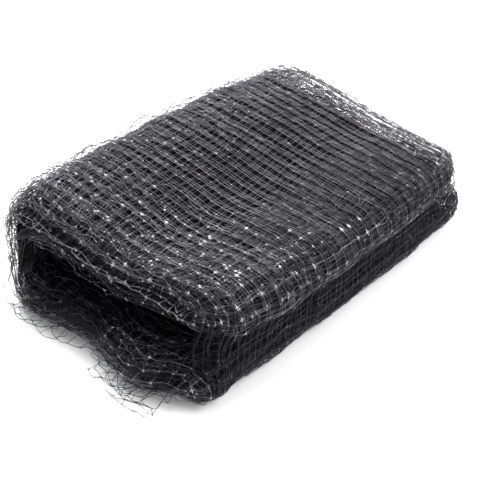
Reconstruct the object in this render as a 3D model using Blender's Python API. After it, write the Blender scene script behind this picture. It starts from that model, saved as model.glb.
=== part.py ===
"""Bird netting, as it comes out of its pack: one long net of fine black strands, gathered into a flat hank and folded.

The net is a single piece, so it is a single solid.  The hank is a thick pile of layers.  It is folded in half once,
so that its section is a U lying on its side: a lower half on the surface, a bend at -X and an upper half on top.
The pile can't bend sharply, so it leaves a long tear-shaped hollow inside the bend, and a crease from there to +X.
The layers run round each half's rounded end at +X, and their cut ends show at -Y and +Y.

Metres, +Z up.  The origin is under the middle of the bundle, on the surface that it lies on.
"""

import bisect
import math

import bmesh
import bpy
from mathutils import Vector

# The driving sizes.
LENGTH = 0.330          # along Y, the gathered width of the net, at the bend
LAYERS = 132            # layers of net in each half of the pile, from a net of about 4 m by 6 m
LAYER_PITCH = 0.00030   # how far apart the pressed layers lie
PILE = LAYERS * LAYER_PITCH
OPEN_SHARE = 0.62       # how much of the upper half's run stands off the lower half, round the hollow
BEND_DEPTH = 0.92       # how far the bend bulges, as a share of its half height
BEND_PRESSED = 0.10     # how much thinner the pile is at the middle of the bend
FRONT_ROUNDING = 0.022  # how far from the front end the pile starts to thin
BACK_ROUNDING = 0.014   # the same at the back end
END_THINNEST = 0.34     # its thickness at the very end, as a share of the full pile

# One row for each section along the bundle, from the front end (-Y) to the back end (+Y).
#   place   where it is, -1 at the front end and 1 at the back end
#   bend    x of the middle of the bend
#   low     x that the lower half reaches
#   top     x that the upper half reaches
#   hollow  height of the hollow at the bend
#   crease  height of the gap between the halves, away from the bend
#   pile    thickness of the upper half, as a share of PILE
#   sag     how far the upper half's middle lies below a straight line
SECTIONS = [
    {"place": -1.00, "bend": -0.096, "low": 0.096, "top": 0.084, "hollow": 0.022, "crease": 0.0085, "pile": 1.18,
     "sag": 0.000},
    {"place": -0.85, "bend": -0.0985, "low": 0.099, "top": 0.098, "hollow": 0.022, "crease": 0.0070, "pile": 1.18,
     "sag": 0.000},
    {"place": -0.60, "bend": -0.102, "low": 0.100, "top": 0.105, "hollow": 0.022, "crease": 0.0045, "pile": 1.18,
     "sag": 0.000},
    {"place": -0.15, "bend": -0.108, "low": 0.103, "top": 0.106, "hollow": 0.019, "crease": 0.0025, "pile": 1.15,
     "sag": -0.003},
    {"place": 0.35, "bend": -0.110, "low": 0.1045, "top": 0.107, "hollow": 0.016, "crease": 0.0020, "pile": 1.12,
     "sag": -0.004},
    {"place": 0.75, "bend": -0.109, "low": 0.1035, "top": 0.102, "hollow": 0.014, "crease": 0.0020, "pile": 1.00,
     "sag": -0.002},
    {"place": 1.00, "bend": -0.101, "low": 0.098, "top": 0.086, "hollow": 0.014, "crease": 0.0020, "pile": 0.84,
     "sag": 0.001},
]

# How far each part of the fold reaches along Y.  One row for each place on the way round the fold, from the lower
# half's end at +X (0) through the bend (0.5) to the upper half's end at +X (1).
REACHES = [
    {"way": 0.00, "front": -0.168, "back": 0.180},
    {"way": 0.09, "front": -0.187, "back": 0.180},
    {"way": 0.20, "front": -0.181, "back": 0.180},
    {"way": 0.34, "front": -0.190, "back": 0.178},
    {"way": 0.50, "front": -0.172, "back": 0.175},
    {"way": 0.66, "front": -0.164, "back": 0.177},
    {"way": 0.82, "front": -0.158, "back": 0.180},
    {"way": 1.00, "front": -0.146, "back": 0.175},
]

RUN_STEPS = 15          # points along each half
BEND_STEPS = 14         # points round the bend
ROUND_STEPS = 6         # points round each half's end
STATIONS = 17           # sections between the two rounded ends
END_STATIONS = (0.0, 0.09, 0.25, 0.48, 0.74)  # places of the sections in each rounded end, as shares of it

NET_COLOUR = (0.012, 0.012, 0.014, 1.0)
NET_ROUGHNESS = 0.42


def eased(t):
    """0 to 1 with no sudden start or stop."""
    t = min(1.0, max(0.0, t))
    return t * t * (3 - 2 * t)


def read(table, by, at, column):
    """A column of a table at any place between its rows."""
    rows = [row[by] for row in table]
    i = min(max(bisect.bisect_right(rows, at) - 1, 0), len(rows) - 2)
    share = eased((at - rows[i]) / (rows[i + 1] - rows[i]))
    return table[i][column] * (1 - share) + table[i + 1][column] * share


def middle_line(place):
    """The line through the middle of the pile at one section: (x, z) points, from the lower half's end round to the
    upper half's end, each with the pile's half thickness there."""
    bend, low, top, hollow, crease, pile, sag = (
        read(SECTIONS, "place", place, column)
        for column in ("bend", "low", "top", "hollow", "crease", "pile", "sag")
    )
    half_low, half_top = PILE / 2, PILE / 2 * pile
    start, end = low - half_low, top - half_top

    def height(x):
        """The middle of the upper half, above the surface."""
        open_share = 1 - eased((x - bend) / (OPEN_SHARE * (end - bend)))
        along = (x - bend) / (end - bend)
        gap = crease + (hollow - crease) * open_share
        return PILE + gap + half_top - sag * math.sin(math.pi * along)

    points = []
    for i in range(RUN_STEPS):
        x = start + (bend - start) * i / RUN_STEPS
        points.append((x, half_low, half_low))
    rise = (height(bend) - half_low) / 2
    depth = rise * BEND_DEPTH
    for i in range(BEND_STEPS + 1):
        turn = math.pi * i / BEND_STEPS
        half = half_low + (half_top - half_low) * i / BEND_STEPS
        thinner = 1 - BEND_PRESSED * math.sin(turn)
        points.append((bend - depth * math.sin(turn), half_low + rise * (1 - math.cos(turn)), half * thinner))
    for i in range(1, RUN_STEPS + 1):
        x = bend + (end - bend) * i / RUN_STEPS
        points.append((x, height(x), half_top))
    return points


def ring(place, thinning):
    """One closed section of the pile, as points: along its outside, round the upper half's end, back along its
    inside, and round the lower half's end."""
    line = middle_line(place)
    last = len(line) - 1

    def point(i, angle):
        """A point on the pile's skin beside the i-th point of its middle line.  Angle 0 is outward, 90 ahead."""
        x, z, half = line[i]
        ahead_x = line[min(i + 1, last)][0] - line[max(i - 1, 0)][0]
        ahead_z = line[min(i + 1, last)][1] - line[max(i - 1, 0)][1]
        size = math.hypot(ahead_x, ahead_z)
        ahead_x, ahead_z = ahead_x / size, ahead_z / size
        reach = half * thinning
        out, ahead = math.cos(angle), math.sin(angle)
        way = i / last
        front, back = (read(REACHES, "way", way, column) for column in ("front", "back"))
        y = front + (back - front) * (place + 1) / 2
        return Vector((x + reach * (ahead * ahead_x - out * ahead_z), y, z + reach * (ahead * ahead_z + out * ahead_x)))

    points = [point(i, 0) for i in range(last + 1)]
    points += [point(last, math.pi * k / ROUND_STEPS) for k in range(1, ROUND_STEPS)]
    points += [point(i, math.pi) for i in range(last, -1, -1)]
    points += [point(0, math.pi + math.pi * k / ROUND_STEPS) for k in range(1, ROUND_STEPS)]
    return points


def stations():
    """(place, thinning) of each section, close together at the two ends, where the pile thins."""
    front, back = FRONT_ROUNDING / (LENGTH / 2), BACK_ROUNDING / (LENGTH / 2)
    thinning = [END_THINNEST + (1 - END_THINNEST) * math.sqrt(1 - (1 - share) ** 2) for share in END_STATIONS]
    inner = [(-1 + front) + (2 - front - back) * i / (STATIONS - 1) for i in range(STATIONS)]
    return (
        [(-1 + share * front, thin) for share, thin in zip(END_STATIONS, thinning)]
        + [(place, 1.0) for place in inner]
        + [(1 - share * back, thin) for share, thin in reversed(list(zip(END_STATIONS, thinning)))]
    )


def netting_mesh():
    """The pile's skin, section to section, closed at each end by a strip between its outside and its inside."""
    mesh = bmesh.new()
    rings = [[mesh.verts.new(p) for p in ring(place, thinning)] for place, thinning in stations()]
    count = len(rings[0])
    for near, far in zip(rings, rings[1:]):
        for i in range(count):
            j = (i + 1) % count
            mesh.faces.new((near[i], near[j], far[j], far[i]))
    run = RUN_STEPS * 2 + BEND_STEPS
    inside = 2 * run + 1 + ROUND_STEPS - 1
    for end in (rings[0], rings[-1]):
        for i in range(run):
            mesh.faces.new((end[i], end[i + 1], end[inside - i - 1], end[inside - i]))
        mesh.faces.new(end[run:run + ROUND_STEPS + 1])
        mesh.faces.new([end[0]] + end[inside:])
    bmesh.ops.recalc_face_normals(mesh, faces=mesh.faces)
    bmesh.ops.triangulate(mesh, faces=mesh.faces)
    return mesh


def net_material():
    material = bpy.data.materials.new("black net")
    material.use_nodes = True
    shader = material.node_tree.nodes["Principled BSDF"]
    shader.inputs["Base Color"].default_value = NET_COLOUR
    shader.inputs["Roughness"].default_value = NET_ROUGHNESS
    return material


def build():
    for thing in list(bpy.data.objects):
        bpy.data.objects.remove(thing)
    collection = bpy.data.collections.new("bird netting")
    bpy.context.scene.collection.children.link(collection)

    skin = netting_mesh()
    low = Vector(min(v.co[k] for v in skin.verts) for k in range(3))
    high = Vector(max(v.co[k] for v in skin.verts) for k in range(3))
    centre = (low + high) / 2
    for v in skin.verts:
        v.co -= Vector((centre.x, centre.y, low.z))
    data = bpy.data.meshes.new("netting")
    skin.to_mesh(data)
    skin.free()
    data.shade_smooth()
    data.materials.append(net_material())
    netting = bpy.data.objects.new("netting", data)
    collection.objects.link(netting)


build()
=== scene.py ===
import math

import bpy
import numpy as np
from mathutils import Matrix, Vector


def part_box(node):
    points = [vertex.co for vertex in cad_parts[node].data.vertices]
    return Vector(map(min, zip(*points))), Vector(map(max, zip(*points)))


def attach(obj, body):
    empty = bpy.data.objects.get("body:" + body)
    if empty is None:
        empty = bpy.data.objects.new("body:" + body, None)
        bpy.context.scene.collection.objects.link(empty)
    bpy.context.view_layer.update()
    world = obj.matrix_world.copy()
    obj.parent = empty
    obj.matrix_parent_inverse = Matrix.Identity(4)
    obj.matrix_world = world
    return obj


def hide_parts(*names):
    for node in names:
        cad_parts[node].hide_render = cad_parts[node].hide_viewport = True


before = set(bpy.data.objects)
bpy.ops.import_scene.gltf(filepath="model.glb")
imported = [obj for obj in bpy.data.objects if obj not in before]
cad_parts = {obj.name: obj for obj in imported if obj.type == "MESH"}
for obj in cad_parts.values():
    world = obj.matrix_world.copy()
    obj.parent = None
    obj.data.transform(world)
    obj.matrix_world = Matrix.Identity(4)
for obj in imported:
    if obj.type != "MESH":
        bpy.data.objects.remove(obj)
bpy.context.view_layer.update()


# ---- Inner turns -----------------------------------------------------------------------------------------
# The heart of the hank: turns of net pressed so tightly that no light passes.  They are painted near black,
# far darker than the net's own plastic: painted shade, which shows as a black ground behind the open
# strands.
# They are made as one long strip, wound round and round inside the fold, and they stop short of both ends,
# where the net is loose enough to see through.

LENGTH = 0.330              # the gathered width of the net, before its layers slipped
PILE = 0.0396               # thickness of the lower half
OPEN_SHARE = 0.62           # how much of the upper half's run stands off the lower half, round the hollow
BEND_DEPTH = 0.92           # how far the bend bulges, as a share of its half height
BEND_PRESSED = 0.10         # how much thinner the pile is at the middle of the bend
FRONT_ROUNDING = 0.022      # how far from the front end the pile starts to thin
BACK_ROUNDING = 0.014       # the same at the back end
END_THINNEST = 0.34         # its thickness at the very end, as a share of the full pile

# The fold's sections from the front end (place -1) to the back end (place 1): x of the middle of the bend,
# x that the lower and the upper half reach, height of the hollow and of the crease, upper half's thickness
# as a share of PILE, and its sag.
SECTIONS = [
    {"place": -1.00, "bend": -0.096, "low": 0.096, "top": 0.084, "hollow": 0.022, "crease": 0.0085,
     "pile": 1.18, "sag": 0.000},
    {"place": -0.85, "bend": -0.0985, "low": 0.099, "top": 0.098, "hollow": 0.022, "crease": 0.0070,
     "pile": 1.18, "sag": 0.000},
    {"place": -0.60, "bend": -0.102, "low": 0.100, "top": 0.105, "hollow": 0.022, "crease": 0.0045,
     "pile": 1.18, "sag": 0.000},
    {"place": -0.15, "bend": -0.108, "low": 0.103, "top": 0.106, "hollow": 0.019, "crease": 0.0025,
     "pile": 1.15, "sag": -0.003},
    {"place": 0.35, "bend": -0.110, "low": 0.1045, "top": 0.107, "hollow": 0.016, "crease": 0.0020,
     "pile": 1.12, "sag": -0.004},
    {"place": 0.75, "bend": -0.109, "low": 0.1035, "top": 0.102, "hollow": 0.014, "crease": 0.0020,
     "pile": 1.00, "sag": -0.002},
    {"place": 1.00, "bend": -0.101, "low": 0.098, "top": 0.086, "hollow": 0.014, "crease": 0.0020,
     "pile": 0.84, "sag": 0.001},
]
# How far the fold reaches along Y, by the way round it from the lower half's end (0) to the upper half's
# end (1).
REACHES = [
    {"way": 0.00, "front": -0.168, "back": 0.180},
    {"way": 0.09, "front": -0.187, "back": 0.180},
    {"way": 0.20, "front": -0.181, "back": 0.180},
    {"way": 0.34, "front": -0.190, "back": 0.178},
    {"way": 0.50, "front": -0.172, "back": 0.175},
    {"way": 0.66, "front": -0.164, "back": 0.177},
    {"way": 0.82, "front": -0.158, "back": 0.180},
    {"way": 1.00, "front": -0.146, "back": 0.175},
]
RUN_SHARE = 15 / 44         # the share of the way round that each half takes; the bend has the rest
RUN_POINTS = 80             # points along each half
BEND_POINTS = 70            # points round the bend
CAP_POINTS = 24             # points round each half's rounded end
PLACES = np.linspace(-1, 1, 49)             # where the sections are worked out


def eased(share):
    """0 to 1 with no sudden start or stop."""
    share = np.clip(share, 0, 1)
    return share * share * (3 - 2 * share)


def read(table, by, at, column):
    """A column of a table at any places between its rows."""
    rows = np.array([row[by] for row in table])
    values = np.array([row[column] for row in table])
    i = np.clip(np.searchsorted(rows, at, side="right") - 1, 0, len(rows) - 2)
    share = eased((at - rows[i]) / (rows[i + 1] - rows[i]))
    return values[i] * (1 - share) + values[i + 1] * share


def middle_line(place):
    """x, z, half thickness and way of points through the middle of the pile, from the lower half's end at +X
    round the bend to the upper half's end."""
    bend, low, top, hollow, crease, pile, sag = (
        read(SECTIONS, "place", place, column)
        for column in ("bend", "low", "top", "hollow", "crease", "pile", "sag")
    )
    half_low, half_top = PILE / 2, PILE / 2 * pile
    start, end = low - half_low, top - half_top

    def height(x):
        open_share = 1 - eased((x - bend) / (OPEN_SHARE * (end - bend)))
        gap = crease + (hollow - crease) * open_share
        return PILE + gap + half_top - sag * np.sin(np.pi * (x - bend) / (end - bend))

    along = np.linspace(0, 1, RUN_POINTS, endpoint=False)
    round_bend = np.linspace(0, 1, BEND_POINTS, endpoint=False)
    rise = (height(bend) - half_low) / 2
    turn = np.pi * round_bend
    last = np.linspace(0, 1, RUN_POINTS + 1)
    top_x = bend + (end - bend) * last
    half_bend = (half_low + (half_top - half_low) * round_bend) * (1 - BEND_PRESSED * np.sin(turn))
    x = [start + (bend - start) * along, bend - rise * BEND_DEPTH * np.sin(turn), top_x]
    z = [half_low + 0 * along, half_low + rise * (1 - np.cos(turn)), height(top_x)]
    half = [half_low + 0 * along, half_bend, half_top + 0 * last]
    way = [RUN_SHARE * along, RUN_SHARE + (1 - 2 * RUN_SHARE) * round_bend, 1 - RUN_SHARE + RUN_SHARE * last]
    return tuple(np.concatenate(parts) for parts in (x, z, half, way))


def ring(place):
    """One section of the pile, all the way round: along its outside, round the upper half's end, back along
    its inside and round the lower half's end.  Columns: x and z of the pile's middle, outward x and z, half
    thickness, way."""
    x, z, half, way = middle_line(place)
    ahead_x, ahead_z = np.gradient(x), np.gradient(z)
    size = np.hypot(ahead_x, ahead_z)
    ahead_x, ahead_z = ahead_x / size, ahead_z / size
    last = len(x) - 1
    cap = np.pi * np.arange(1, CAP_POINTS) / CAP_POINTS
    whole = np.arange(last + 1)
    i = np.concatenate([whole, np.full(CAP_POINTS - 1, last), whole[::-1], np.zeros(CAP_POINTS - 1, int)])
    angle = np.concatenate([0.0 * whole, cap, np.pi + 0.0 * whole, np.pi + cap])
    out_x = np.sin(angle) * ahead_x[i] - np.cos(angle) * ahead_z[i]
    out_z = np.sin(angle) * ahead_z[i] + np.cos(angle) * ahead_x[i]
    return np.stack([x[i], z[i], out_x, out_z, half[i], way[i]], axis=-1)


RINGS = np.stack([ring(place) for place in PLACES])      # (places, points round the fold, columns)
ROUND = RINGS.shape[1]
FRONT = read(REACHES, "way", RINGS[0, :, 5], "front")
BACK = read(REACHES, "way", RINGS[0, :, 5], "back")
HALF_RUN = 2 * RUN_POINTS + BEND_POINTS                  # the last point of the outside
# Named spots round the fold, as places in that list of points.
TOP_MIDDLE = HALF_RUN - RUN_POINTS // 2
TOP_END = HALF_RUN + CAP_POINTS // 2                     # the middle of the upper half's rounded end
LOW_END = ROUND - CAP_POINTS // 2                        # the middle of the lower half's rounded end
INSIDE_TOP = HALF_RUN + CAP_POINTS                       # the inside, where it leaves the upper half's end
INSIDE_LOW = ROUND - CAP_POINTS                          # the inside, where it meets the lower half's end
UNDER_BEND = RUN_POINTS                                  # where the underside turns up into the bend

low_corner, high_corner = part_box("netting")
centre = (low_corner + high_corner) / 2
skin_x = RINGS[:, :, 0] + RINGS[:, :, 2] * RINGS[:, :, 4]
SHIFT_X = centre.x - (skin_x.min() + skin_x.max()) / 2
SHIFT_Y = centre.y - (FRONT.min() + BACK.max()) / 2
ANGLES = np.linspace(0, np.pi / 2, 61)                   # round the bundle's rounded ends, from the tip


def end_skin(rounding):
    """How far along the skin each of those angles lies from the tip."""
    between = (ANGLES[1:] + ANGLES[:-1]) / 2
    steps = np.hypot(rounding * np.sin(between), (1 - END_THINNEST) * PILE / 2 * np.cos(between)) * ANGLES[1]
    return np.concatenate([[0], np.cumsum(steps)])


FRONT_SKIN, BACK_SKIN = end_skin(FRONT_ROUNDING), end_skin(BACK_ROUNDING)
SPREAD = 0.018              # how much longer the slipped layers make it, on average
FLAT_ALONG = LENGTH + SPREAD - FRONT_ROUNDING - BACK_ROUNDING
ALONG = FRONT_SKIN[-1] + FLAT_ALONG + BACK_SKIN[-1]      # along the skin, from the front tip to the back tip
SLIP = 0.018                # how far loose net can slip out past the two ends
THINNEST = 0.0006           # the least half thickness that the pile can be pressed to
CLEAR = 0.0010              # how far the middles of the lowest strands stay above the floor
TIP_LEAN = 0.004            # keeps the outward direction at the tips from pointing straight along the bundle


def spot(at, along, depth):
    """Points in the pile and their outward directions: `at` a place round the fold, `along` metres of skin
    from the front end's tip, `depth` below the skin."""
    at, along, depth = np.broadcast_arrays(np.asarray(at) % ROUND, along, depth)
    i = np.floor(at).astype(int) % ROUND
    ahead = (at - np.floor(at))[..., None]
    at_front = along < ALONG / 2
    front_angle = np.interp(along, FRONT_SKIN, ANGLES)
    back_angle = np.interp(ALONG - along, BACK_SKIN, ANGLES)
    angle = np.where(at_front, front_angle, back_angle)
    rounding = np.where(at_front, FRONT_ROUNDING, BACK_ROUNDING)
    inset = rounding / LENGTH * (1 - np.cos(angle))
    flat_share = 1 - (FRONT_ROUNDING + BACK_ROUNDING) / LENGTH
    between = np.clip((along - FRONT_SKIN[-1]) / FLAT_ALONG, 0, 1) * flat_share
    on_flat = (between > 0) & (along < ALONG - BACK_SKIN[-1])
    share = np.where(at_front, inset, 1 - inset)
    share = np.where(on_flat, FRONT_ROUNDING / LENGTH + between, share)
    row = np.clip(share, 0, 1) * (len(PLACES) - 1)
    k = np.clip(np.floor(row).astype(int), 0, len(PLACES) - 2)
    beside = (row - k)[..., None]
    j = (i + 1) % ROUND
    here = ((RINGS[k, i] * (1 - ahead) + RINGS[k, j] * ahead) * (1 - beside)
            + (RINGS[k + 1, i] * (1 - ahead) + RINGS[k + 1, j] * ahead) * beside)
    front = FRONT[i] * (1 - ahead[..., 0]) + FRONT[j] * ahead[..., 0]
    back = BACK[i] * (1 - ahead[..., 0]) + BACK[j] * ahead[..., 0]
    size = np.hypot(here[..., 2], here[..., 3])
    out_x, out_z = here[..., 2] / size, here[..., 3] / size
    thinned = END_THINNEST + (1 - END_THINNEST) * np.sin(angle)
    reach = np.maximum(here[..., 4] - depth, THINNEST) * thinned
    y = front + (back - front) * share + np.minimum(along, 0) + np.maximum(along - ALONG, 0)
    x, y, z = here[..., 0] + out_x * reach + SHIFT_X, y + SHIFT_Y, here[..., 1] + out_z * reach
    past_front, past_back = np.maximum(low_corner.y - y, 0), np.maximum(y - high_corner.y, 0)
    y = y + (past_front - SLIP * np.tanh(past_front / SLIP) - past_back + SLIP * np.tanh(past_back / SLIP))
    points = np.stack([x, y, np.maximum(z, CLEAR)], axis=-1)
    tilt_y = np.where(at_front, -1, 1) * (1 - END_THINNEST) * PILE / 2 * np.cos(angle)
    tilt_out = rounding * np.sin(angle) + TIP_LEAN
    size = np.hypot(tilt_y, tilt_out)
    outward = np.stack([out_x * tilt_out / size, tilt_y / size, out_z * tilt_out / size], axis=-1)
    return points, outward


def distances(depth, path=spot):
    """How far each point round the fold is from the first, along a turn at that depth."""
    points, _ = path(np.arange(ROUND + 1) - 1e-6 * (np.arange(ROUND + 1) == ROUND), ALONG / 2, depth)
    steps = np.linalg.norm(np.diff(points, axis=0), axis=1)
    return np.concatenate([[0], np.cumsum(steps)])


WAVE_LENGTHS = 3            # how many lengths of wave make up an uneven field
WAVE_WAYS = 3               # how many ways the waves of each length run
WAVE_FINER = 1.9            # how many times shorter each length is than the last
WAVE_HEIGHT = 3.2           # what all the waves together hardly ever pass


def waves(seed, a, b, longest):
    """A smooth uneven field from -1 to 1 over two lengths, both in the units of the longest wave."""
    rng = np.random.default_rng(seed)
    total = 0
    for number in range(WAVE_LENGTHS):
        reach = 2 * np.pi * WAVE_FINER ** number / longest
        for _ in range(WAVE_WAYS):
            heading, start = rng.uniform(0, 2 * np.pi), rng.uniform(0, 2 * np.pi)
            height = np.sin(reach * (a * np.cos(heading) + b * np.sin(heading)) + start)
            total = total + height / (number + 1)
    return np.clip(total / WAVE_HEIGHT, -1, 1)


TROUGHS = 0.0026            # how deep the pressed-in troughs along the turns are
TROUGHS_APART = 0.052       # how far apart they lie along the bundle
TROUGHS_CHANGE = 0.06       # how much they change on the way round the fold, as a length
TROUGHS_SEED = 11


def troughs(at, along):
    """How far the skin is pressed in: uneven troughs along the turns, a few meshes apart."""
    around = np.sin(2 * np.pi * at / ROUND) * TROUGHS_CHANGE
    return TROUGHS * (0.5 + 0.5 * waves(TROUGHS_SEED, along, around, TROUGHS_APART))


INNER_DEPTH = 0.0075        # depth of the strip's outermost turn
INNER_STEP = 0.0032         # how much deeper each turn is than the last
INNER_TURNS = 4
INNER_AROUND = 150          # faces round each turn
INNER_ALONG = 44            # faces along the bundle
INNER_FRONT = 0.026         # where the strip starts, from the front tip
INNER_FRONT_BEND = 0.011    # how much nearer the tip it starts at the bend
INNER_BEND_REACH = 30       # how far from the middle of the bend it does so, in points round the fold
INNER_BACK = 0.038          # where it stops, from the back tip
INNER_RAGGED = 0.006        # how unevenly it starts and stops
INNER_RAGGED_WAVE = 0.23    # the longest wave of that
INNER_RAGGED_SEED = 5
TURN_LENGTH = 0.9           # about how long one turn is
# Painted shade: the core's ground and its faint strands, far darker than the net's own plastic.
INNER_SHADE_COLOUR = (0.0016, 0.0015, 0.0022, 1)
INNER_SHADE_STRAND_COLOUR = (0.008, 0.008, 0.0095, 1)
INNER_STRANDS = 420         # how many of its faint strands lie in a metre
INNER_ROUGHNESS = 0.8


def inner_turns():
    """The strip's mesh, and its width and length when laid flat."""
    turn = np.linspace(0, INNER_TURNS, INNER_TURNS * INNER_AROUND + 1)
    table = distances(INNER_DEPTH)
    at = np.interp((turn % 1) * table[-1], table, np.arange(ROUND + 1))
    share = np.linspace(0, 1, INNER_ALONG + 1)
    bend = np.exp(-((at - UNDER_BEND - BEND_POINTS / 2) / INNER_BEND_REACH) ** 2)
    ragged = INNER_RAGGED * waves(INNER_RAGGED_SEED, turn * TURN_LENGTH, 0 * turn, INNER_RAGGED_WAVE)
    start = INNER_FRONT - INNER_FRONT_BEND * bend + ragged
    stop = ALONG - INNER_BACK + ragged
    along = start[:, None] + (stop - start)[:, None] * share[None, :]
    depth = INNER_DEPTH + INNER_STEP * turn[:, None] + troughs(at[:, None], along)
    points, _ = spot(at[:, None], along, depth)
    mesh = bpy.data.meshes.new("inner_turns")
    index = np.arange(points.shape[0] * points.shape[1]).reshape(points.shape[:2])
    corners = np.stack([index[:-1, :-1], index[:-1, 1:], index[1:, 1:], index[1:, :-1]], axis=-1)
    mesh.from_pydata(points.reshape(-1, 3), [], corners.reshape(-1, 4))
    mesh.shade_smooth()
    long_way = np.linalg.norm(np.diff(points[:, INNER_ALONG // 2], axis=0), axis=1).sum()
    short_way = np.linalg.norm(np.diff(points[INNER_AROUND // 2], axis=0), axis=1).sum()
    return mesh, (short_way, long_way)


def core_shade_ground():
    """Painted shade for the tightly packed net: a near-black ground, with the faintest strands on it."""
    material = bpy.data.materials.new("core_shade_ground")
    material.use_nodes = True
    nodes, links = material.node_tree.nodes, material.node_tree.links
    shader = nodes["Principled BSDF"]
    shader.inputs["Roughness"].default_value = INNER_ROUGHNESS
    shader.inputs["Specular IOR Level"].default_value = 0.1
    place = nodes.new("ShaderNodeTexCoord")
    grain = nodes.new("ShaderNodeTexNoise")
    grain.inputs["Scale"].default_value = INNER_STRANDS
    grain.inputs["Detail"].default_value = 4
    links.new(place.outputs["Object"], grain.inputs["Vector"])
    tint = nodes.new("ShaderNodeValToRGB")
    tint.color_ramp.elements[0].position = 0.45
    tint.color_ramp.elements[0].color = INNER_SHADE_COLOUR
    tint.color_ramp.elements[1].position = 0.8
    tint.color_ramp.elements[1].color = INNER_SHADE_STRAND_COLOUR
    links.new(grain.outputs["Fac"], tint.inputs["Fac"])
    links.new(tint.outputs["Color"], shader.inputs["Base Color"])
    return material


strip, strip_size = inner_turns()
strip.materials.append(core_shade_ground())
inner = bpy.data.objects.new("inner_turns", strip)
bpy.context.scene.collection.objects.link(inner)
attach(inner, "root")
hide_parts("netting")


# ---- Outer turns -----------------------------------------------------------------------------------------
# The last turns of the net round the hank: black plastic, drawn into fine strands that thicken towards each
# knot.  The net lies folded over on itself, so each turn is a flat tube of two layers, joined by loops at
# both ends of the bundle.  Warps run round the fold, wefts along it.

MESH = 0.0125               # one square of the net, from knot to knot
COLUMNS = 30                # meshes along the bundle, drawn together a little
PITCH = ALONG / COLUMNS
WARP, WARP_AT_KNOT = 0.00050, 0.00074       # thickness of a strand that runs round the fold
WEFT, WEFT_AT_KNOT = 0.00036, 0.00058       # thickness of a strand that runs along the bundle
KNOT = 0.0010               # a knot's size
KNOT_ALONG_WARP = 1.5       # how far it is drawn out along the warp, for its size
KNOT_ALONG_WEFT = 1.2       # the same along the weft
KNOT_WAIST = 0.27           # how far it reaches between the four strands
KNOT_HEIGHT = 0.5
KNOT_SMALLEST, KNOT_MORE = 0.45, 0.95       # the smallest knots, and how much is added for the largest
KNOT_RARITY = 4             # how rare the large ones are
SIDES = 3                   # faces round a strand, enough for one this fine
# Both strand greys are lighter than bare black plastic: painted sheen for the strands' highlights. The
# lighter one also marks wear.
NET_COLOUR = (0.036, 0.0353, 0.0435, 1)
WORN_AND_SHEEN_COLOUR = (0.148, 0.144, 0.169, 1)      # where the strands are worn, lifted further as painted sheen
NET_SHINE = 0.34            # roughness of the plastic
WEAR = 90                   # how many rubbed places lie in a metre
WEAR_FROM, WEAR_TO = 0.35, 0.75             # how much wear it takes to grey a strand, at least and in full
WEAR_SMOOTHER, WEAR_ROUGHER = 0.08, 0.12    # how much the wear changes the roughness, each way
LEAN_ALONG = 72             # how many meshes further along a turn lies, for each metre that it is deeper
LEAN_ROUND = -66            # the same, round the fold


def net_plastic(name, colour, worn_and_sheen_colour, roughness, specular):
    """Black plastic strand, a little greyer and rougher at random worn places.
    Its colours carry painted light: lifted for painted sheen and glints, lowered for painted shade.
    """
    material = bpy.data.materials.new(name)
    material.use_nodes = True
    nodes, links = material.node_tree.nodes, material.node_tree.links
    shader = nodes["Principled BSDF"]
    shader.inputs["Specular IOR Level"].default_value = specular
    place = nodes.new("ShaderNodeTexCoord")
    wear = nodes.new("ShaderNodeTexNoise")
    wear.inputs["Scale"].default_value = WEAR
    wear.inputs["Detail"].default_value = 3
    links.new(place.outputs["Object"], wear.inputs["Vector"])
    tint = nodes.new("ShaderNodeValToRGB")
    tint.color_ramp.elements[0].position = WEAR_FROM
    tint.color_ramp.elements[0].color = colour
    tint.color_ramp.elements[1].position = WEAR_TO
    tint.color_ramp.elements[1].color = worn_and_sheen_colour
    links.new(wear.outputs["Fac"], tint.inputs["Fac"])
    links.new(tint.outputs["Color"], shader.inputs["Base Color"])
    rough = nodes.new("ShaderNodeMapRange")
    rough.inputs["To Min"].default_value = roughness - WEAR_SMOOTHER
    rough.inputs["To Max"].default_value = roughness + WEAR_ROUGHER
    links.new(wear.outputs["Fac"], rough.inputs["Value"])
    links.new(rough.outputs["Result"], shader.inputs["Roughness"])
    return material


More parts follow.
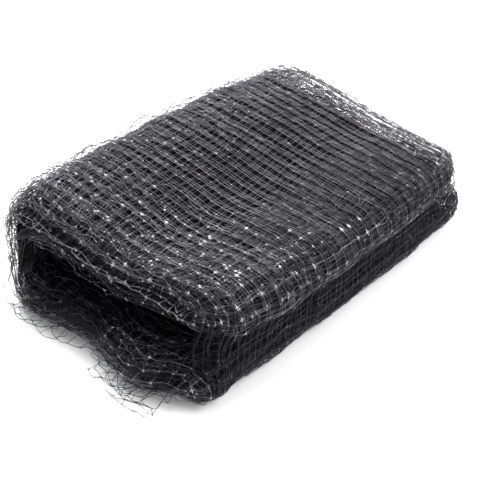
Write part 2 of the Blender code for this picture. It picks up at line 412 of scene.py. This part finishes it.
class Strands:
    """Strands and knots gathered into one mesh.  Strands have its first material, and knots its second."""

    def __init__(self):
        self.points, self.faces, self.count = [], [], 0

    def add(self, points, faces, slot):
        self.points.append(points)
        self.faces.append((faces + self.count, slot))
        self.count += len(points)

    def draw(self, lines, outward, thickness, closed):
        """Strands along lines (strand, point, xyz), each point as thick as thickness says."""
        ahead = np.roll(lines, -1, axis=1) - np.roll(lines, 1, axis=1)
        if not closed:
            ahead[:, 0] = lines[:, 1] - lines[:, 0]
            ahead[:, -1] = lines[:, -1] - lines[:, -2]
        ahead = ahead / np.maximum(np.linalg.norm(ahead, axis=-1, keepdims=True), 1e-9)
        side = np.cross(ahead, outward)
        side = side / np.maximum(np.linalg.norm(side, axis=-1, keepdims=True), 1e-9)
        up = np.cross(side, ahead)
        count, length = lines.shape[:2]
        half = np.broadcast_to(thickness, (count, length))[:, :, None, None] / 2
        turn = 2 * np.pi * np.arange(SIDES) / SIDES + np.pi / 2
        across = np.cos(turn)[:, None] * side[:, :, None, :] + np.sin(turn)[:, None] * up[:, :, None, :]
        points = (lines[:, :, None, :] + half * across).reshape(-1, 3)
        index = np.arange(len(points)).reshape(count, length, SIDES)
        near, far = (index, np.roll(index, -1, axis=1)) if closed else (index[:, :-1], index[:, 1:])
        faces = np.stack([near, far, np.roll(far, -1, axis=-1), np.roll(near, -1, axis=-1)], axis=-1)
        self.add(points, faces.reshape(-1, 4), 0)

    def tie(self, centres, outward, ahead, sizes):
        """A small lump at each crossing, drawn out into a point along each of the four strands."""
        side = np.cross(ahead, outward)
        reach = sizes[:, None]
        waist = reach * KNOT_WAIST
        warp, weft = ahead * reach * KNOT_ALONG_WARP, side * reach * KNOT_ALONG_WEFT
        tips = [warp, (ahead + side) * waist, weft, (side - ahead) * waist,
                -warp, (-ahead - side) * waist, -weft, (ahead - side) * waist, outward * reach * KNOT_HEIGHT]
        points = (centres[:, None, :] + np.stack(tips, axis=1)).reshape(-1, 3)
        rim = len(tips) - 1
        star = np.array([[k, (k + 1) % rim, rim] for k in range(rim)])
        faces = (np.arange(len(centres))[:, None, None] * len(tips) + star).reshape(-1, 3)
        self.add(points, faces, 1)

    def mesh(self, name):
        """All that has been drawn and tied so far."""
        points = np.concatenate(self.points)
        corners = np.concatenate([faces.ravel() for faces, _ in self.faces])
        sizes = np.concatenate([np.full(len(faces), faces.shape[1]) for faces, _ in self.faces])
        slots = np.concatenate([np.full(len(faces), slot) for faces, slot in self.faces])
        mesh = bpy.data.meshes.new(name)
        mesh.vertices.add(len(points))
        mesh.vertices.foreach_set("co", points.astype(np.float32).ravel())
        mesh.loops.add(len(corners))
        mesh.polygons.add(len(sizes))
        mesh.polygons.foreach_set("loop_start", (np.cumsum(sizes) - sizes).astype(np.int32))
        mesh.polygons.foreach_set("vertices", corners.astype(np.int32))
        mesh.polygons.foreach_set("material_index", slots.astype(np.int32))
        mesh.update(calc_edges=True)
        mesh.shade_smooth()
        return mesh


LOOP_REACH = 0.44           # how far the loops at both ends reach past the last warps, in meshes
LOOP_SHOULDER = 0.30        # how far they reach where they leave each layer
LOOP_TURN = 0.15            # how far they have come there, on the way from one layer to the other


def weft_stops(first, last, phases, fine, tube):
    """What a weft passes on its way round the flat tube: column, layer from 0 to 1, and whether there is a
    knot.  A net that isn't a tube has one layer and open wefts."""
    over, under = phases
    there = np.arange(first, last + 1)
    halves = [there + over] if not tube else [there + over, there[::-1] + under]
    stops = []
    for layer, columns in enumerate(halves):
        for k, column in enumerate(columns):
            stops.append((column, layer, 1))
            if fine and k < len(columns) - 1:
                stops.append(((column + columns[k + 1]) / 2, layer, 0))
        if fine and tube and layer == 0:
            stops += [(last + over + LOOP_SHOULDER, LOOP_TURN, 0),
                      (last + max(phases) + LOOP_REACH, 0.5, 0),
                      (last + under + LOOP_SHOULDER, 1 - LOOP_TURN, 0)]
        if fine and tube and layer == 1:
            stops += [(first + under - LOOP_SHOULDER, 1 - LOOP_TURN, 0),
                      (first + min(phases) - LOOP_REACH, 0.5, 0),
                      (first + over - LOOP_SHOULDER, LOOP_TURN, 0)]
    return np.array(stops).T


LAYER_SHIFT = 0.12          # how far the under layer's wefts lie from the over layer's, in meshes
END_SHIFT, END_SHIFT_REACH = 0.4, 1.5       # the same at the two ends, and how many meshes in it is felt
END_LOOSER, END_LOOSER_REACH = 1.5, 1.2     # how much more uneven the two ends are, and how many meshes in
TOGETHER_ALONG, ALONG_WAVE = 0.0011, 0.16   # how far neighbouring turns wander together along the bundle
TOGETHER_ROUND, ROUND_WAVE = 0.0030, 0.15   # the same, round the fold
OWN_ROUND, OWN_WAVE = 0.0013, 0.05          # how far one turn wanders round the fold by itself
OWN_DEPTH = 0.0005                          # the same, in depth
TOGETHER_ALONG_SEED, TOGETHER_ROUND_SEED = 71, 72
# How much less each of these changes in its own direction than across it, so that no mesh is squeezed shut.
SLOWER_ALONG, SLOWER_ROUND, SLOWER_OWN = 0.5, 0.4, 0.5
WARP_WAVE = 0.09            # the longest wave of a single warp
WARP_FIELD, WARP_APART = 60, 0.004          # how far apart the warps' own waves are taken from, in steps
WARP_SLACK = 0.6            # how slack the warps are beside the wefts
# How uneven a strand is from one point to the next.
UNEVEN_ALONG, UNEVEN_ROUND, UNEVEN_DEPTH = 0.00025, 0.0003, 0.00016


def lay_net(strands, rng, start, stop, depths, first, last, row_phase=0.0, phases=(0.0, 0.33), fine=True,
            tube=True, wander=0.0006, slack=0.0005, lift=(0.0, 0.0), knot=1.0, path=spot):
    """One turn of net: round the fold from place start to place stop, its two layers at the two depths, from
    column first to column last along the bundle.  A phase is a shift as a share of a mesh.  Fine net has
    knots and slack strands, and a tube has two layers.  Wander and slack are lengths, lift is how far the
    net stands up, at least and at most, and knot is how much larger its knots are.  The path is the surface
    that it lies on."""
    table = distances(max(sum(depths) / 2, 0), path)
    whole = table[-1]

    def distance(at):
        return np.interp(at % ROUND, np.arange(ROUND + 1), table) + whole * math.floor(at / ROUND)

    top = distance(TOP_MIDDLE)
    steps = 2 if fine else 1
    first_row = math.ceil((distance(start) - top) / MESH - row_phase)
    last_row = math.floor((distance(stop) - top) / MESH - row_phase)
    rows = np.arange(first_row * steps, last_row * steps + 1) / steps
    column, layer, knotted = weft_stops(first, last, phases, fine, tube)
    arc, column = np.meshgrid(top + (rows + row_phase) * MESH, column + 0.5, indexing="ij")
    seed = int(rng.integers(1 << 30))
    edge = np.maximum(np.minimum(column - first, last + 1 - column), 0)
    loose = 1 + END_LOOSER * np.exp(-edge / END_LOOSER_REACH)
    arc = arc + layer * MESH * (LAYER_SHIFT + (END_SHIFT - LAYER_SHIFT) * np.exp(-edge / END_SHIFT_REACH))
    # Neighbouring turns wander together, and each warp and weft a little by itself.
    own = rng.uniform(0, WARP_FIELD, column.shape[1])[None, :] * WARP_APART
    at_row = (np.arange(len(rows)) % steps == 0)[:, None]
    shared = waves(TOGETHER_ALONG_SEED, arc - top, column * PITCH * SLOWER_ALONG, ALONG_WAVE)
    column = column + (TOGETHER_ALONG * shared
                       + wander * loose * waves(seed, arc, own, WARP_WAVE)
                       + rng.normal(0, UNEVEN_ALONG, arc.shape) * loose
                       + rng.normal(0, slack * WARP_SLACK, arc.shape) * ~at_row) / PITCH
    shared = waves(TOGETHER_ROUND_SEED, (arc - top) * SLOWER_ROUND, column * PITCH, ROUND_WAVE)
    arc = arc + (TOGETHER_ROUND * shared
                 + OWN_ROUND * loose * waves(seed + 1, arc * SLOWER_OWN, column * PITCH, OWN_WAVE)
                 + rng.normal(0, UNEVEN_ROUND, arc.shape) * loose
                 + rng.normal(0, slack, arc.shape) * (knotted == 0) * loose)
    depth = (depths[0] + (depths[1] - depths[0]) * layer
             + OWN_DEPTH * waves(seed + 3, arc, column * PITCH, OWN_WAVE)
             + rng.normal(0, UNEVEN_DEPTH, arc.shape) * loose)
    lifted = 0.5 + 0.5 * waves(seed + 4, arc, column * PITCH, OWN_WAVE)
    depth = depth - lift[0] - (lift[1] - lift[0]) * lifted
    at = np.interp(arc % whole, table, np.arange(ROUND + 1))
    along = column * PITCH
    points, outward = path(at, along, depth + troughs(at, along))
    at_knot = knotted == 1
    at_row = at_row[:, 0]
    warp = np.where(at_row, WARP_AT_KNOT, WARP) if fine else WARP
    weft = np.where(at_knot, WEFT_AT_KNOT, WEFT) if fine else (WEFT + WEFT_AT_KNOT) / 2
    warps, warps_out = points[:, at_knot].transpose(1, 0, 2), outward[:, at_knot].transpose(1, 0, 2)
    strands.draw(warps, warps_out, warp, closed=False)
    strands.draw(points[at_row], outward[at_row], weft, closed=tube)
    if not fine:
        return
    crossings, out = points[at_row][:, at_knot], outward[at_row][:, at_knot]
    ahead = np.gradient(crossings, axis=0)
    ahead = ahead - out * (ahead * out).sum(-1, keepdims=True)
    ahead = ahead / np.maximum(np.linalg.norm(ahead, axis=-1, keepdims=True), 1e-9)
    sizes = KNOT * knot * (KNOT_SMALLEST + KNOT_MORE * rng.random(crossings.shape[:2]) ** KNOT_RARITY)
    strands.tie(crossings.reshape(-1, 3), out.reshape(-1, 3), ahead.reshape(-1, 3), sizes.ravel())


# Each plastic: its name, its colour and where it is worn, its roughness, and how strongly it mirrors.
# They are copies of one black plastic, with painted shade, painted sheen and painted glints in their
# colours.
glossy = net_plastic("net_strand", NET_COLOUR, WORN_AND_SHEEN_COLOUR, NET_SHINE, 0.32)
# Painted glint: knots painted lighter than the strands, where they catch the light.
knot_glint = net_plastic("net_knot", WORN_AND_SHEEN_COLOUR, (0.28, 0.28, 0.30, 1), 0.24, 0.9)
# Painted shade: the same plastic, painted far darker, for net lying under other turns and in the crease.
painted_shade = net_plastic("net_strand_shade_dark", (0.0045, 0.0045, 0.0063, 1), (0.013, 0.013, 0.017, 1), 0.34, 0.1)
shaded = net_plastic("net_strand_inside", (0.0022, 0.0022, 0.0036, 1), (0.006, 0.006, 0.0085, 1), 0.45, 0.05)
# Painted shade: the same plastic, painted darker, for net at the ends, over the crease and in the hollow's
# mouth.
painted_half_shade = net_plastic("net_strand_ends", (0.0075, 0.0075, 0.0098, 1), (0.036, 0.035, 0.0435, 1), 0.32, 0.24)
# Painted glint: knots of the loose net painted lighter still.
strong_glint = net_plastic("net_knot_strong_glint", (0.12, 0.12, 0.127, 1), (0.42, 0.42, 0.44, 1), 0.22, 1.0)
# For each finish, the plastic of the strands and that of the knots, painted darker or lighter for how the
# light falls where the net lies.
FINISHES = {"open": (glossy, knot_glint), "ends": (painted_half_shade, glossy), "painted_shade": (painted_shade, glossy),
            "inside": (shaded, shaded), "loose": (glossy, strong_glint), "edge": (painted_shade, strong_glint)}


def place_net(name, strands, finish):
    """One piece of the visual model, made of the strands and knots gathered so far."""
    mesh = strands.mesh(name)
    for material in FINISHES[finish]:
        mesh.materials.append(material)
    piece = bpy.data.objects.new(name, mesh)
    bpy.context.scene.collection.objects.link(piece)
    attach(piece, "root")


TUCK = 6                    # how many points past the rounded ends a turn is tucked into the crease
UNDER_TUCK = 8              # how many points before the bend a turn starts that doesn't go under the bundle
LOW_STOP = 10               # how many points it goes on under the lower half from its rounded end
LAYERS_APART = 0.0004       # how much deeper the under layer lies
TURN_WANDER = 0.0003        # how far each warp of these turns wanders
LOW_WANDER = 0.0012         # the same on the lower half's rounded end
LOW_PHASE = 0.47            # how far apart the two layers' warps lie there, in meshes
# Depth of the over layer, row phase, phases of the two layers, first and last column, and whether it goes
# under the bundle.  The warps of all turns lie in ridges, three close together and then a gap.
OUTER_TURNS = [
    {"depth": 0.0002, "rows": 0.00, "phases": (0.00, 0.23), "first": 0, "last": COLUMNS - 1, "under": True},
    {"depth": 0.0010, "rows": 0.50, "phases": (0.46, 0.02), "first": 1, "last": COLUMNS - 2, "under": True},
    {"depth": 0.0019, "rows": 0.14, "phases": (0.22, 0.47), "first": 1, "last": COLUMNS - 3, "under": False},
    {"depth": 0.0029, "rows": 0.62, "phases": (0.00, 0.24), "first": 0, "last": COLUMNS - 4, "under": False},
]
NET_SEED = 20
rng = np.random.default_rng(NET_SEED)
low_turns = Strands()
for number, row in enumerate(OUTER_TURNS):
    strands = Strands()
    start, stop = (0, 0) if row["under"] else (UNDER_BEND - UNDER_TUCK, LOW_STOP)
    columns = row["first"], row["last"]
    depths = (row["depth"], row["depth"] + LAYERS_APART)
    phases = tuple(phase + LEAN_ALONG * depth for phase, depth in zip(row["phases"], depths))
    rows = row["rows"] + LEAN_ROUND * row["depth"]
    lay_net(strands, rng, start, INSIDE_TOP + TUCK, depths, *columns, rows, phases, wander=TURN_WANDER)
    # The two deeper turns take the darker plastic: painted shade under the turns above.
    place_net(f"outer_turn_{number + 1}", strands, "open" if number < 2 else "painted_shade")
    # The lower half's rounded end, where the turns have spread out.
    phase = number / len(OUTER_TURNS)
    phases = (phase, phase + LOW_PHASE)
    lay_net(low_turns, rng, INSIDE_LOW - TUCK - ROUND, stop, depths, *columns, rows, phases,
            wander=LOW_WANDER)
# The lower half's end takes the darker plastic: painted shade.
place_net("outer_turns_low", low_turns, "ends")


# ---- Deeper turns ----------------------------------------------------------------------------------------
# The next turns of the same net lie closer together, and in the shade of the outer turns.  They fill the
# meshes with a dark tangle, and there is no telling one of their strands from another.

DEEPER_TURNS = 6
DEEPER_DEPTH = 0.0040       # depth of the first of them
DEEPER_STEP = 0.0008
DEEPER_SHORT = 3            # they start fewer columns than this from the front end
DEEPER_LAST = COLUMNS - 5   # the last column that they reach
DEEPER_ROWS = 0.1           # how unevenly their wefts lie, in meshes
DEEPER_PHASES = ((0.02, 0.25), (0.25, 0.46), (0.45, 0.00))     # of the two layers, turn by turn
DEEPER_PIECES = 2           # every other turn is in the same piece
for half in range(DEEPER_PIECES):
    strands = Strands()
    for number in range(half, DEEPER_TURNS, DEEPER_PIECES):
        depth = DEEPER_DEPTH + DEEPER_STEP * number
        phases = tuple(phase + LEAN_ALONG * depth for phase in DEEPER_PHASES[number % len(DEEPER_PHASES)])
        for start, stop in [(UNDER_BEND - UNDER_TUCK, INSIDE_TOP + TUCK),
                            (INSIDE_LOW - TUCK - ROUND, LOW_STOP)]:
            first = int(rng.integers(0, DEEPER_SHORT))
            rows = rng.uniform(-DEEPER_ROWS, DEEPER_ROWS) + 0.5 * (number % 2) + LEAN_ROUND * depth
            lay_net(strands, rng, start, stop, (depth, depth + LAYERS_APART), first, DEEPER_LAST, rows,
                    phases, fine=False)
    place_net(f"deeper_turns_{half + 1}", strands, "inside")


# ---- Net over the crease ---------------------------------------------------------------------------------
# A few of the last turns run round both halves at once.  They lie across the crease between the two rounded
# ends, and leave only a soft dark line there.

CREASE_FROM, CREASE_TO = TOP_END - 1, LOW_END + 1
CREASE_PULL = 0.0060        # how far the net is drawn in between the two halves
CREASE_RAISED = 1.15        # how much nearer the upper half the deepest point of that lies
ACROSS_FINE_START = HALF_RUN - 26           # where the turns that show start, on top of the upper half
ACROSS_START = TOP_END - 6                  # where the others start
ACROSS_STOP = ROUND + 3                     # just under the lower half
ACROSS_LAYERS_APART = 0.0006
ACROSS_WANDER = 0.0016
ACROSS = [
    {"depth": -0.0004, "rows": 0.20, "phases": (0.10, 0.62), "fine": True, "pull": 0.7},
    {"depth": 0.0012, "rows": 0.65, "phases": (0.38, 0.85), "fine": True, "pull": 0.9},
    {"depth": 0.0030, "rows": 0.40, "phases": (0.22, 0.73), "fine": False, "pull": 1.0},
    {"depth": 0.0040, "rows": 0.90, "phases": (0.51, 0.97), "fine": False, "pull": 1.0},
    {"depth": 0.0050, "rows": 0.10, "phases": (0.05, 0.34), "fine": False, "pull": 1.0},
    {"depth": 0.0060, "rows": 0.60, "phases": (0.67, 0.84), "fine": False, "pull": 1.0},
]


def across_crease(pull):
    """A path that leaves the upper half's rounded end and goes straight over to the lower half's."""
    def path(at, along, depth):
        at = np.asarray(at) % ROUND
        share = np.clip((at - CREASE_FROM) / (CREASE_TO - CREASE_FROM), 0, 1)
        over = (share > 0) & (share < 1)
        points, outward = spot(at, along, depth)
        top, top_out = spot(CREASE_FROM + 0 * at, along, depth)
        low, low_out = spot(CREASE_TO + 0 * at, along, depth)
        share = share[..., None]
        straight = top + (low - top) * share
        dip = np.sin(np.pi * np.clip(share[..., 0] * CREASE_RAISED, 0, 1)) ** 2
        straight[..., 0] -= CREASE_PULL * pull * dip
        between = top_out + (low_out - top_out) * share
        between = between / np.linalg.norm(between, axis=-1, keepdims=True)
        return np.where(over[..., None], straight, points), np.where(over[..., None], between, outward)

    return path


seen, unseen = Strands(), Strands()
for row in ACROSS:
    strands, start = (seen, ACROSS_FINE_START) if row["fine"] else (unseen, ACROSS_START)
    depths = (row["depth"], row["depth"] + ACROSS_LAYERS_APART)
    lay_net(strands, rng, start, ACROSS_STOP, depths, 0, COLUMNS - 2, row["rows"], row["phases"],
            fine=row["fine"], wander=ACROSS_WANDER, path=across_crease(row["pull"]))
# The net over the crease and in it take darker plastics: painted shade.
place_net("net_over_crease", seen, "ends")
place_net("net_in_crease", unseen, "painted_shade")


# ---- Inside of the hollow --------------------------------------------------------------------------------
# The same net lines the hollow inside the bend, from one side of the crease to the other.  It isn't fixed to
# anything, and only a few strands of it can be made out in the shade there.

LINING_DEPTHS = (0.0004, 0.0012)
LINING_START, LINING_STOP = INSIDE_TOP + 14, INSIDE_LOW - 14
LINING_WANDER = 0.0015
strands = Strands()
lay_net(strands, rng, LINING_START, LINING_STOP, LINING_DEPTHS, 0, COLUMNS - 1, fine=False,
        wander=LINING_WANDER)
place_net("hollow_lining", strands, "inside")


# ---- Ends of the inner turns -----------------------------------------------------------------------------
# At both ends of the bundle the inner turns come loose from the pressed pile, and fan out into loops and
# knots.  They are the same strands, held only by the turns round them.

END_TURNS = [0.0050, 0.0068, 0.0088, 0.0108, 0.0130, 0.0152]     # depths of the turns that show at the ends
END_LAYERS_APART = 0.0009
END_WANDER, END_SLACK = 0.0020, 0.0016
END_ROWS = 0.3              # how unevenly their wefts lie, in meshes
END_PHASES = (-0.3, 0.5)    # between what shifts their warps lie
BEND_END = UNDER_BEND + BEND_POINTS         # where the bend goes over into the upper half
OPEN_REACH = 14             # how many points into the bend a turn goes that leaves the bend open
OPEN_TURN = 1               # which turn of the front end does so
# For each end, the columns it spans, how many of them a turn may fall short by, and which turns are fine.
ENDS = [
    {"name": "front_ends", "columns": (0, 3), "short": [0, 0, 1], "fine": (0, 2, 4)},
    {"name": "back_ends", "columns": (COLUMNS - 5, COLUMNS - 2), "short": [0, 1, 2], "fine": (0, 3)},
]
for row in ENDS:
    strands, hidden = Strands(), Strands()
    at_front = row["name"] == "front_ends"
    for number, depth in enumerate(END_TURNS):
        first, last = row["columns"]
        short = int(rng.choice(row["short"]))
        first, last = (first + short, last) if at_front else (first, last - short)
        fine = number in row["fine"]
        spans = [(0, ROUND - 2)]
        if at_front and number == OPEN_TURN:
            spans = [(BEND_END - OPEN_REACH, ROUND - 2), (0, UNDER_BEND + OPEN_REACH)]
        for start, stop in spans:
            rows, phases = rng.uniform(-END_ROWS, END_ROWS), tuple(rng.uniform(*END_PHASES, 2))
            lay_net(strands if fine else hidden, rng, start, stop, (depth, depth + END_LAYERS_APART), first,
                    last, rows, phases, fine=fine, wander=END_WANDER, slack=END_SLACK)
    place_net(row["name"], strands, "ends")
    # The hidden turns take a darker plastic: painted shade.
    place_net(row["name"] + "_inside", hidden, "painted_shade")


# ---- Loose net -------------------------------------------------------------------------------------------
# Over the front third of the top a few meshes of the last turn stand off the rest, and catch the light at
# each knot; those knots are painted light grey as painted glints.  Other meshes have slipped out at the
# bottom
# and lie on the floor.  Each row: where it starts and stops round the fold, its first and last column, and
# how far it stands up, at least and at most.

LOOSE = [
    {"from": TOP_MIDDLE - 34, "to": TOP_END, "columns": (0, 8), "lift": (0.0004, 0.0030)},
    {"from": TOP_MIDDLE - 4, "to": TOP_END + 2, "columns": (1, 7), "lift": (0.0002, 0.0022)},
    {"from": TOP_MIDDLE - 60, "to": TOP_MIDDLE + 36, "columns": (0, 5), "lift": (0.0004, 0.0028)},
    {"from": TOP_MIDDLE - 66, "to": TOP_END, "columns": (-1, 1), "lift": (-0.0006, 0.0044)},
    {"from": TOP_MIDDLE - 40, "to": HALF_RUN, "columns": (-1, 0), "lift": (-0.0020, 0.0030)},
    {"from": TOP_MIDDLE - 50, "to": TOP_END + 6, "columns": (0, 2), "lift": (-0.0010, 0.0040)},
    {"from": HALF_RUN - 10, "to": TOP_END + 1, "columns": (4, 17), "lift": (0.0002, 0.0016)},
    {"from": HALF_RUN - 4, "to": TOP_END + 3, "columns": (0, 9), "lift": (0.0002, 0.0026)},
    {"from": INSIDE_LOW - 36, "to": LOW_END, "columns": (-1, 1), "lift": (0.0000, 0.0030)},
    {"from": LOW_END - 8 - ROUND, "to": 30, "columns": (-1, 1), "lift": (0.0000, 0.0040)},
    {"from": INSIDE_TOP + 56, "to": INSIDE_TOP + 92, "columns": (-1, 1), "lift": (0.0010, 0.0130)},
    {"from": INSIDE_TOP + 60, "to": INSIDE_TOP + 84, "columns": (-1, 0), "lift": (-0.0020, 0.0080)},
]
# Net that stands off the bend and the two ends in the same way, where it is seen against the floor.
STRAY = [
    {"from": UNDER_BEND - 6, "to": BEND_END + 30, "columns": (0, 7), "lift": (0.0008, 0.0060)},
    {"from": UNDER_BEND - 6, "to": BEND_END + 10, "columns": (-1, 5), "lift": (0.0010, 0.0080)},
    {"from": UNDER_BEND + 20, "to": BEND_END + 24, "columns": (2, COLUMNS - 1), "lift": (0.0010, 0.0070)},
    {"from": UNDER_BEND + 30, "to": BEND_END + 14, "columns": (0, COLUMNS - 3), "lift": (0.0000, 0.0090)},
    {"from": BEND_END - 20, "to": TOP_END + 4, "columns": (COLUMNS - 4, COLUMNS - 1),
     "lift": (0.0006, 0.0056)},
    {"from": BEND_END - 10, "to": TOP_END + 4, "columns": (COLUMNS - 4, COLUMNS),
     "lift": (0.0010, 0.0070)},
    {"from": BEND_END - 14, "to": TOP_END + 4, "columns": (COLUMNS - 5, COLUMNS - 1),
     "lift": (0.0000, 0.0030)},
    {"from": BEND_END - 10, "to": TOP_END + 4, "columns": (COLUMNS - 2, COLUMNS),
     "lift": (-0.0010, 0.0050)},
    {"from": LOW_END - 14 - ROUND, "to": 4, "columns": (COLUMNS - 3, COLUMNS),
     "lift": (0.0006, 0.0040)},
]
# Net in the mouth of the hollow, which hangs from its roof and lies on its floor.
IN_MOUTH = [
    {"from": INSIDE_LOW - 62, "to": INSIDE_LOW - 4, "columns": (0, 7), "lift": (0.0004, 0.0026)},
    {"from": INSIDE_LOW - 40, "to": INSIDE_LOW + 4, "columns": (0, 5), "lift": (0.0020, 0.0065)},
    {"from": INSIDE_LOW - 32, "to": INSIDE_LOW + 2, "columns": (0, 4), "lift": (0.0010, 0.0050)},
    {"from": INSIDE_TOP + 8, "to": INSIDE_TOP + 84, "columns": (-1, 2), "lift": (0.0004, 0.0050)},
    {"from": INSIDE_TOP + 4, "to": INSIDE_TOP + 96, "columns": (0, 3), "lift": (-0.0010, 0.0030)},
    {"from": INSIDE_TOP + 30, "to": INSIDE_TOP + 100, "columns": (0, 4), "lift": (0.0030, 0.0110)},
    {"from": INSIDE_TOP + 56, "to": INSIDE_TOP + 140, "columns": (-1, 3), "lift": (0.0010, 0.0130)},
    {"from": INSIDE_TOP + 90, "to": INSIDE_TOP + 170, "columns": (0, 4), "lift": (0.0004, 0.0060)},
    {"from": INSIDE_TOP + 70, "to": INSIDE_TOP + 160, "columns": (-1, 3), "lift": (0.0020, 0.0100)},
    {"from": INSIDE_TOP + 64, "to": INSIDE_TOP + 150, "columns": (0, 3), "lift": (0.0050, 0.0140)},
    {"from": INSIDE_TOP + 74, "to": INSIDE_TOP + 140, "columns": (-1, 2), "lift": (0.0000, 0.0070)},
]
# Net that has slipped out from under the front end.
SLIPPED_OUT = [
    {"from": 2, "to": 22, "columns": (-3, 0), "lift": (0.0, 0.0010)},
    {"from": 0, "to": 34, "columns": (-2, 0), "lift": (0.0, 0.0120)},
    {"from": 8, "to": 40, "columns": (-2, 0), "lift": (0.0, 0.0060)},
    {"from": 30, "to": 62, "columns": (-1, 1), "lift": (0.0, 0.0040)},
    {"from": 56, "to": 84, "columns": (-2, 0), "lift": (0.0, 0.0010)},
    {"from": 60, "to": 92, "columns": (-1, 0), "lift": (0.0, 0.0080)},
]
# Lower layers that show as rows of knots under the front edge of the upper half, their knots painted light
# grey as painted glints and their strands painted dark as painted shade.
FRONT_EDGE = [
    {"from": TOP_MIDDLE - 56, "to": HALF_RUN + 4, "columns": (-1, 0), "lift": (-0.0090, -0.0040)},
    {"from": TOP_MIDDLE - 50, "to": HALF_RUN + 2, "columns": (-1, 0), "lift": (-0.0150, -0.0090)},
    {"from": TOP_MIDDLE - 60, "to": HALF_RUN, "columns": (-1, 0), "lift": (-0.0210, -0.0150)},
    {"from": INSIDE_TOP + 4, "to": INSIDE_TOP + 92, "columns": (-1, 0), "lift": (-0.0130, -0.0060)},
    {"from": INSIDE_TOP + 6, "to": INSIDE_TOP + 88, "columns": (-1, 0), "lift": (-0.0060, 0.0010)},
    {"from": INSIDE_TOP + 10, "to": INSIDE_TOP + 80, "columns": (-1, 1), "lift": (0.0010, 0.0090)},
]
LOOSE_ROWS, LOOSE_PHASE = 0.3, 0.2          # how unevenly wefts and warps of loose net lie, in meshes
LOOSE_NETS = [
    {"name": "loose_net", "parts": LOOSE, "finish": "loose", "wander": 0.0026, "slack": 0.0016, "knot": 1.6},
    {"name": "stray_net", "parts": STRAY, "finish": "open", "wander": 0.0030, "slack": 0.0018, "knot": 1.3},
    {"name": "net_in_mouth", "parts": IN_MOUTH, "finish": "ends", "wander": 0.0036, "slack": 0.0030,
     "knot": 1.2},
    {"name": "slipped_out_net", "parts": SLIPPED_OUT, "finish": "painted_shade", "wander": 0.0070, "slack": 0.0030,
     "knot": 1.3},
    {"name": "front_edge_net", "parts": FRONT_EDGE, "finish": "edge", "wander": 0.0030, "slack": 0.0020,
     "knot": 1.3},
]
for net in LOOSE_NETS:
    strands = Strands()
    for row in net["parts"]:
        rows = rng.uniform(-LOOSE_ROWS, LOOSE_ROWS)
        phases = (rng.uniform(-LOOSE_PHASE, LOOSE_PHASE), 0.0)
        lay_net(strands, rng, row["from"], row["to"], (0.0, 0.0), *row["columns"], rows, phases, tube=False,
                wander=net["wander"], slack=net["slack"], lift=row["lift"], knot=net["knot"])
    place_net(net["name"], strands, net["finish"])


# ---- Floor, light and camera -----------------------------------------------------------------------------
# The bundle lies loose on a plain white floor.  The light is soft studio light, most of it from above, and
# the view is from the bundle's front right corner.

FLOOR = 8.0
FLOOR_COLOUR = (0.92, 0.92, 0.92, 1)
bpy.ops.mesh.primitive_plane_add(size=FLOOR, location=(0, 0, 0))
floor = bpy.context.object
floor.name = "floor"
white = bpy.data.materials.new("white_floor")
white.use_nodes = True
paint = white.node_tree.nodes["Principled BSDF"]
paint.inputs["Base Color"].default_value = FLOOR_COLOUR
paint.inputs["Roughness"].default_value = 0.9
paint.inputs["Specular IOR Level"].default_value = 0.1
floor.data.materials.append(white)

LIGHTS = [
    {"name": "softbox_above", "from": (-0.70, 0.45, 1.95), "size": 1.8, "watts": 74},
    {"name": "lamp_above", "from": (-1.10, 0.50, 1.70), "size": 0.70, "watts": 46},
    {"name": "softbox_right", "from": (1.30, 0.90, 1.55), "size": 1.4, "watts": 56},
    {"name": "lamp_front", "from": (-0.9, -1.6, 1.1), "size": 0.3, "watts": 2},
]
for row in LIGHTS:
    lamp = bpy.data.lights.new(row["name"], "AREA")
    lamp.size = row["size"]
    lamp.energy = row["watts"]
    light = bpy.data.objects.new(row["name"], lamp)
    light.location = row["from"]
    light.rotation_mode = "QUATERNION"
    light.rotation_quaternion = (-Vector(row["from"])).to_track_quat("-Z", "Y")
    bpy.context.scene.collection.objects.link(light)

ROOM_LIGHT = 0.46           # how bright the white room round the bundle is
world = bpy.data.worlds.new("studio")
world.use_nodes = True
room = world.node_tree.nodes["Background"]
room.inputs["Color"].default_value = (1, 1, 1, 1)
room.inputs["Strength"].default_value = ROOM_LIGHT
bpy.context.scene.world = world
bpy.context.scene.view_settings.view_transform = "Standard"

AZIMUTH = math.radians(43.3)                # from the front end, round to the rounded ends' side
ELEVATION = math.radians(39.9)
AIM = Vector((0.0080, 0.0086, 0.0))
DISTANCE = 0.873
SENSOR, LENS = 36, 68                       # in millimetres
camera = bpy.data.objects.new("camera", bpy.data.cameras.new("camera"))
camera.data.sensor_width = SENSOR
camera.data.lens = LENS
level = math.cos(ELEVATION)
look = Vector((-math.sin(AZIMUTH) * level, math.cos(AZIMUTH) * level, -math.sin(ELEVATION)))
camera.location = AIM - look * DISTANCE
camera.rotation_mode = "QUATERNION"
camera.rotation_quaternion = look.to_track_quat("-Z", "Y")
bpy.context.scene.collection.objects.link(camera)
bpy.context.scene.camera = camera
